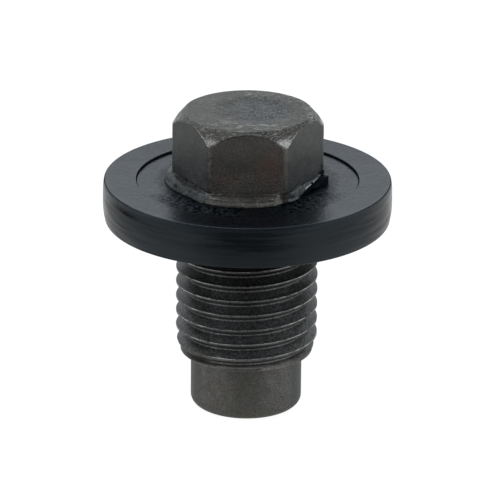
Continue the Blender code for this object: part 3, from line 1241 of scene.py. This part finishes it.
@dataclass
class SealWasher:
    """The moulded rubber washer with its recessed inner face.

    A moulding line is given by its share of the wall's height, its depth and its half width.
    """

    low: float = 19.02
    high: float = 23.10
    bore: float = 6.75
    bore_chamfer: float = 0.25
    bulge_radius: float = 13.944
    bottom_draft: float = 0.17
    top_draft: float = 0.04
    bulge_share: float = 0.42
    bottom_round: float = 0.32
    top_round: float = 0.06
    shoulder: float = 0.085
    shoulder_height: float = 0.8
    recess_radius: float = 10.76
    recess_depth: float = 0.18
    groove_depth: float = 0.03
    groove_width: float = 0.13
    moulding_lines: tuple[Triple, ...] = ((0.72, 0.012, 0.10), (0.56, 0.010, 0.08))
    steps: int = 360
    wall_rows: int = 40
    sharp: float = 40.0

    def wall(self) -> Points:
        """The bulged wall with its faint moulding lines.

        Returns:
            Points up the wall, as (r, z).
        """
        low = self.low + self.bottom_round
        high = self.high - self.top_round
        widest = blend(low, high, self.bulge_share)
        points = []
        for row in range(1, self.wall_rows):
            height = blend(low, high, row / self.wall_rows)
            if height < widest:
                share = (widest - height) / (widest - low)
                radius = self.bulge_radius - self.bottom_draft * share**2
            else:
                share = (height - widest) / (high - widest)
                near = clamp((height - self.high + self.shoulder_height) / self.shoulder_height)
                radius = self.bulge_radius - self.top_draft * share**2 - self.shoulder * near**2
            for at, depth, width in self.moulding_lines:
                radius -= depth * hump(height, blend(low, high, at), width)
            points.append((radius, height))
        return points

    def profile(self) -> Points:
        """The section of the washer.

        Returns:
            Its points as (r, z), of which the last joins the first.
        """
        low, high, rim = self.low, self.high, self.recess_radius
        floor = high - self.recess_depth
        bottom = self.bulge_radius - self.bottom_draft
        top = self.bulge_radius - self.top_draft - self.shoulder * 0.86
        lip = top - self.top_round
        inner = rim - self.groove_width
        points = [(self.bore, floor - 0.1), (self.bore, low + self.bore_chamfer)]
        points += [(self.bore + self.bore_chamfer, low)]
        points += [(blend(self.bore, bottom, share), low) for share in (0.3, 0.6, 0.85)]
        center = (bottom - self.bottom_round, low + self.bottom_round)
        points += arc(center, self.bottom_round, -90.0, 0.0, 6)
        points += self.wall()
        points += arc((lip, high - self.top_round), self.top_round, 0.0, 90.0, 5)
        points += [(lip - step * 0.035, high) for step in range(1, 6)]
        shares = (0.12, 0.2, 0.3, 0.5, 0.7, 0.85, 0.95)
        points += [(blend(top, rim, share), high) for share in shares]
        points += [(rim + 0.05, high), (rim + 0.03, high)]
        points += arc((rim + 0.015, high - 0.015), 0.015, 90.0, 180.0, 2)
        points += [(rim - 0.02, floor - self.groove_depth * 0.6)]
        points += [(rim - self.groove_width * 0.4, floor - self.groove_depth)]
        points += [(rim - self.groove_width * 0.75, floor - self.groove_depth * 0.7)]
        shares = (0.0, 0.12, 0.25, 0.4, 0.55, 0.7, 0.85, 0.96)
        points += [(blend(inner, self.bore, share), floor) for share in shares]
        return points

    def build(self, finish: MouldedRubber) -> bpy.types.Object:
        """Model the washer and give it its finish.

        Args:
            finish: the finish of the rubber.

        Returns:
            The finished piece.
        """
        shell = spun(self.profile(), self.steps, closed=True)
        floor = self.high - self.recess_depth
        groove_foot = floor - self.groove_depth * 1.5
        groove_start = self.recess_radius - self.groove_width * 1.5
        for vert in shell.verts:
            spot = Spot(vert.co)
            height = spot.z
            if groove_foot < height < floor and spot.radius > groove_start:
                height = blend(floor, height, ease(spot.y, -1.0, 4.0))
                vert.co.z = height * MM
            if height > floor - 0.02 and spot.radius < self.bulge_radius - 0.4:
                vert.co.z += 0.012 * MM * (Spot(vert.co).waves(2.3) - 0.6)
        paint(shell, self, (Layer.GRIT, Layer.PALE, Layer.GRAIN, Layer.DULL_AND_SHADE))
        return piece_from("rubber_washer", shell, self.sharp, finish.material())

    def grit(self, spot: Spot) -> float:
        """How rough the rubber is, with more flash left on it at two places.

        Args:
            spot: the point.

        Returns:
            From 0, smooth, to 1 and above.
        """
        if spot.z < self.high - self.recess_depth - 0.15:
            return 0.1
        left = sector(spot.azimuth, -124.0, 36.0, 16.0) * hump(spot.radius, 9.4, 2.8)
        right = 0.8 * sector(spot.azimuth, -44.0, 28.0, 12.0) * hump(spot.radius, 8.8, 2.5)
        flash = max(left, right)
        aside = 0.6 + 0.4 * ease(max(abs(spot.x), spot.y), 5.5, 8.0)
        if spot.radius < self.recess_radius:
            inward = ease(spot.radius, self.recess_radius - 0.1, self.recess_radius - 1.1)
            return (0.42 + 0.14 * inward) * aside + 1.2 * flash
        return 0.42 * aside + 0.7 * flash

    def pale(self, spot: Spot) -> float:
        """How dusty the rubber is.

        Args:
            spot: the point.

        Returns:
            From 0, clean, to 1 and above.
        """
        # lighter near the foot, and a painted highlight over the top of the outer wall
        low = 0.35 * ease(self.low + 0.75 - spot.z, 0.0, 0.7)
        outside = spot.radius > self.bulge_radius - 0.5
        rim = 1.2 * ease(spot.z, self.high - 0.55, self.high - 0.15) if outside else 0.0
        return max(low, rim)

    def grain(self, spot: Spot) -> float:
        """How strongly the wall is streaked along its turn.

        Args:
            spot: the point.

        Returns:
            From 0.1, hardly, to 1 and above.
        """
        if spot.radius < self.bulge_radius - 0.45:
            return 0.1
        wall = ease(self.high - spot.z, 0.05, 0.6)
        return 0.1 + wall * (0.75 + 0.65 * ease(abs(spot.x), 7.0, 12.0))

    def dull_and_shade(self, spot: Spot) -> float:
        """How far the gloss is gone: at the foot, round the collar and along the rim.

        Args:
            spot: the point.

        Returns:
            From 0, glossy, to 1, matte.
        """
        across, ahead = abs(spot.x), -spot.y
        if spot.z < self.high - self.recess_depth - 0.12:
            # painted shade: a dark blot on the left of the wall, and a dark band along the foot
            blot = hump(turn_gap(spot.azimuth, -146.0), 0.0, 17.0) * hump(spot.z, 22.25, 0.60)
            return max(0.55 * blot, 0.5 * ease(self.low + 0.30 - spot.z, 0.0, 0.2))
        if spot.radius < self.recess_radius:
            # painted shade: a dark line in the groove
            if spot.radius > self.recess_radius - self.groove_width * 0.8:
                return 1.0
            # painted reflection: the head's dark mirror image in front, and painted shade round the
            # collar
            middle = 0.70 * ease(8.9 - across, 0.0, 4.2) * (ahead > 0.0)
            ring = blend(0.32, 0.50, ease(ahead, 0.0, 4.0)) * ease(spot.radius, 9.3, 8.0)
            return max(ring, middle, 0.03)
        # painted shade: a dark line along the front of the rim, the head's dark reflection in
        # front, and a little at the back
        front = 0.85 * ease(ahead, -2.0, 1.0) * ease(across, 8.5, 12.0)
        middle = 0.62 * ease(8.9 - across, 0.0, 4.6) * (ahead > 0.0)
        middle *= 0.2 if spot.radius > 13.6 else 1.0
        back = 0.03 + 0.08 * ease(spot.y, 2.0, 8.0)
        return max(middle, front * hump(spot.radius, 13.78, 0.09), back)


# Studio


@dataclass
class Studio:
    """A white studio: pale floor, soft dome, one soft lamp, and shade on the camera's side.

    The dome, shade, horizon, floor and front values are levels of light.
    """

    elevation: float = 20.846
    distance: float = 450.0
    target: Triple = (0.287, 0.0, 15.717)
    roll: float = 0.504
    focal_pixels: float = 4647.6
    picture: int = 500
    sensor: float = 36.0
    clip: tuple[float, float] = (0.01, 20.0)
    floor_size: float = 4000.0
    dome: float = 0.80
    dome_color: Triple = (0.91, 0.955, 1.0)
    shade: float = 0.04
    horizon: float = 0.20
    left_floor: float = 0.47
    right_floor: float = 0.54
    near_floor: float = 0.58
    front_near: float = 0.34
    front_far: float = 0.09
    seen_glow: float = 0.96
    seen_paint: float = 0.12
    lit_paint: float = 0.6
    lamp_power: float = 0.55
    lamp_sides: tuple[float, float] = (500.0, 400.0)
    lamp_place: Triple = (-150.0, 50.0, 600.0)
    lamp_aim: Triple = (0.0, 0.0, 15.0)

    def camera(self) -> bpy.types.Object:
        """Set up the camera.

        Returns:
            The camera, at the photograph's viewing angle.
        """
        tilt = math.radians(self.elevation)
        roll = math.radians(self.roll)
        ahead = Vector((0.0, math.cos(tilt), -math.sin(tilt)))
        level = Vector((1.0, 0.0, 0.0))
        upward = Vector((0.0, math.sin(tilt), math.cos(tilt)))
        right = level * math.cos(roll) + upward * math.sin(roll)
        above = upward * math.cos(roll) - level * math.sin(roll)
        turn = Matrix((right, above, -ahead)).transposed().to_4x4()
        data = bpy.data.cameras.new("studio_camera")
        data.sensor_width = self.sensor
        data.lens = self.focal_pixels * self.sensor / self.picture
        data.clip_start, data.clip_end = self.clip
        place = metres(*self.target) - ahead * (self.distance * MM)
        camera = linked("studio_camera", data)
        camera.matrix_world = Matrix.Translation(place) @ turn
        bpy.context.scene.camera = camera
        return camera

    def floor(self) -> bpy.types.Object:
        """Lay the floor: white to the camera, and in soft shade in front for the plug's gloss.

        Returns:
            The floor.
        """
        shell = bmesh.new()
        half = self.floor_size * MM / 2
        bmesh.ops.create_grid(shell, x_segments=1, y_segments=1, size=half)
        floor = linked("floor", mesh_from("floor", shell))
        material, sheet = new_material("pale_floor")
        floor.data.materials.append(material)
        seen, glossy, through = sheet.light_path()
        glossy = glossy.most(through)
        strength = seen * self.seen_glow + glossy * self.floor_level(sheet) * (1.0 - seen)
        paint = seen * self.seen_paint + (1.0 - seen) * (1.0 - glossy) * self.lit_paint
        glow = sheet.node("Emission", {"Color": WHITE, "Strength": strength})
        lit = sheet.node("AddShader", {0: sheet.diffuse(sheet.gray(paint)), 1: glow})
        clear = sheet.node("BsdfTransparent")
        behind = sheet.node("NewGeometry", output="Backfacing")
        sheet.finish(sheet.both(lit, clear, behind))
        return floor

    def floor_level(self, sheet: Sheet) -> Value:
        """How bright the floor is in the plug's gloss: paler near by, dark in front.

        Args:
            sheet: the sheet of the floor's material.

        Returns:
            The level of light.
        """
        x, y, _ = sheet.split(sheet.coordinates())
        ahead = y * -1.0
        spread = ((x * x) ** 0.5) / ahead.most(1.0 * MM)
        front = ahead.ramp(6 * MM, 24 * MM) * spread.ramp(1.15, 0.1)
        close = (x * x + y * y).ramp((90 * MM) ** 2, (30 * MM) ** 2)
        side = x.ramp(-40 * MM, 40 * MM, self.left_floor, self.right_floor)
        side = side + close * (self.near_floor - side) + y.ramp(43 * MM, 51 * MM) * 0.12
        depth = ahead.ramp(40 * MM, 92 * MM, self.front_near, self.front_far)
        depth = depth + ahead.ramp(110 * MM, 220 * MM, 0.0, 0.15)
        return side + front * (depth - side)

    def dome_light(self) -> None:
        """The world: white to the camera, a soft dome that is shaded on the camera's side."""
        world = bpy.data.worlds.new("soft_dome")
        world.use_nodes = True
        bpy.context.scene.world = world
        sheet = Sheet(world.node_tree)
        seen, _, _ = sheet.light_path()
        _, ahead, up = sheet.split(sheet.node("TexCoord", output="Generated"))
        shaded = (ahead * -1.0).ramp(0.15, 0.80) * up.ramp(0.74, 0.46)
        low = up.ramp(0.20, 0.0) * self.horizon + self.shade
        level = shaded * (low - self.dome) + self.dome
        strength = seen + (1.0 - seen) * level
        color = sheet.mix(self.dome_color, WHITE, seen)
        shader = sheet.node("Background", {0: color, 1: strength})
        sheet.finish(shader, "OutputWorld")

    def lamp(self) -> bpy.types.Object:
        """Hang one large soft lamp.

        Returns:
            The lamp, high up on the left.
        """
        data = bpy.data.lights.new("softbox", "AREA")
        data.shape = "RECTANGLE"
        data.size, data.size_y = (side * MM for side in self.lamp_sides)
        data.energy = self.lamp_power
        lamp = linked("softbox", data)
        lamp.location = metres(*self.lamp_place)
        lamp.rotation_mode = "QUATERNION"
        ahead = metres(*self.lamp_aim) - lamp.location
        lamp.rotation_quaternion = ahead.to_track_quat("-Z", "Y")
        return lamp

    def build(self) -> None:
        """Set up the camera, the floor and the light."""
        self.camera()
        self.floor()
        self.dome_light()
        self.lamp()
        view = bpy.context.scene.view_settings
        view.view_transform = "Standard"


# Script


def main() -> None:
    """Build the plug, the washer and the studio round the CAD frame."""
    logging.basicConfig(level=logging.INFO, format="%(name)s: %(message)s")
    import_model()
    Studio().build()
    plug = DrainPlug(HexHead(), ThreadedShank()).build(BlackenedSteel())
    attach(plug, "root")
    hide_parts("plug_body")
    LOG.info("%s has %d faces", plug.name, len(plug.data.polygons))
    washer = SealWasher().build(MouldedRubber())
    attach(washer, "root")
    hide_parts("seal_washer")
    LOG.info("%s has %d faces", washer.name, len(washer.data.polygons))


if __name__ == "__main__":
    main()
